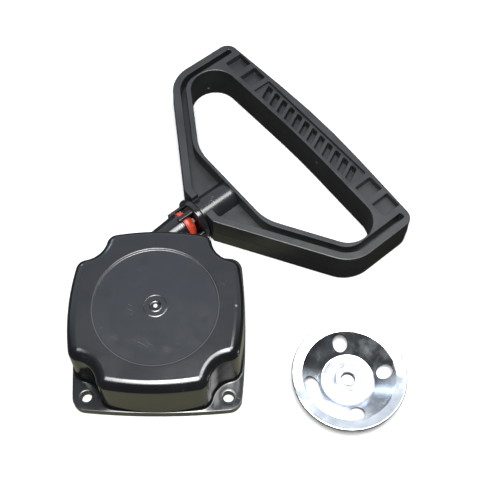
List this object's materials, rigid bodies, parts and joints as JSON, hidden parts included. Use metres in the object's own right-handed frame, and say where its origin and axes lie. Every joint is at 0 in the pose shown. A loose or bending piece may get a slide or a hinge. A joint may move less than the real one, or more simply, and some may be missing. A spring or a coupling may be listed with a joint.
{
  "type": "recoil starter",
  "caption": "Square moulded recoil starter with a domed housing, rope pulley and pawls inside, a wide pull handle on its rope, and a loose dished starter cup.",
  "frame": {"origin": "on the pulley axis, at the underside of the centre pin, level with the housing's mounting face", "axes": "+Z along the pulley axis from the mounting face to the closed top, +X and +Y along the housing's sides; the rope leaves towards +X +Y"},
  "size_m": [0.2093, 0.276, 0.044],
  "materials": {
    "black_nylon": "black moulded nylon, semi-gloss with faint sink marks",
    "gloss_black": "glossy black moulded plastic",
    "satin_handle": "satin charcoal moulded plastic",
    "pulley_nylon": "dark glass-filled nylon",
    "red_rubber": "red-orange urethane",
    "rope": "braided off-white starter rope",
    "steel": "plated steel",
    "spring_steel": "blued spring steel",
    "bright_zinc": "bright zinc plate with a blue-white tint"
  },
  "bodies": {
    "housing": {"housing_shell": "black_nylon", "rope_eyelet": "steel", "rope_wiper": "red_rubber", "rope_guide_cage": "gloss_black", "centre_pin": "steel", "hub_washer": "pulley_nylon", "friction_washer": "steel", "spring_cup": "pulley_nylon", "recoil_spring": "spring_steel"},
    "pulley": {"rope_pulley": "pulley_nylon", "rope_winding": "rope", "rope_anchor_knot": "rope", "brake_spring": "spring_steel", "pawl_spring_1": "spring_steel", "pawl_spring_2": "spring_steel"},
    "retainer": {"pawl_retainer": "steel"},
    "pawl_one": {"pawl_1": "steel"},
    "pawl_two": {"pawl_2": "steel"},
    "rope_end": {"rope_lead": "rope", "handle_knot": "rope", "knot_washer": "steel"},
    "handle": {"handle_grip": "satin_handle"},
    "starter_cup": {"cup_dish": "bright_zinc", "cup_nut": "bright_zinc"}
  },
  "joints": [
    {"name": "handle_pull", "type": "slide", "parent": "housing", "child": "rope_end", "axis": [0.7749, 0.632, 0], "range_m": [0, 0.65], "stiffness_N_per_m": 30, "springref_m": -0.3, "deforming": ["rope_lead"]},
    {"name": "pulley_turn", "type": "hinge", "parent": "housing", "child": "pulley", "pos_m": [0, 0, 0.013], "axis": [0, 0, 1], "range_deg": [-956, 0], "deforming": ["recoil_spring", "rope_winding"]},
    {"name": "retainer_turn", "type": "hinge", "parent": "pulley", "child": "retainer", "pos_m": [0, 0, 0.0031], "axis": [0, 0, 1], "range_deg": [0, 25], "stiffness_Nm_per_rad": 0.02},
    {"name": "pawl_one_swing", "type": "hinge", "parent": "pulley", "child": "pawl_one", "pos_m": [0.01627, 0.01327, 0.0066], "axis": [0, 0, 1], "range_deg": [0, 25], "deforming": ["pawl_spring_1"]},
    {"name": "pawl_two_swing", "type": "hinge", "parent": "pulley", "child": "pawl_two", "pos_m": [-0.01627, -0.01327, 0.0066], "axis": [0, 0, 1], "range_deg": [0, 25], "deforming": ["pawl_spring_2"]},
    {"name": "handle_swivel", "type": "hinge", "parent": "rope_end", "child": "handle", "pos_m": [0.02808, 0.08265, 0.013], "axis": [0.7749, 0.632, 0], "range_deg": [-90, 90]},
    {"name": "cup_lift", "type": "slide", "parent": "housing", "child": "starter_cup", "axis": [0, 0, 1], "range_m": [0, 0.1]}
  ],
  "couplings": [
    {"joint": "pulley_turn", "follows": "handle_pull", "rad_per_m": -25.641},
    {"joint": "pawl_one_swing", "follows": "retainer_turn", "ratio": 1},
    {"joint": "pawl_two_swing", "follows": "retainer_turn", "ratio": 1}
  ]
}
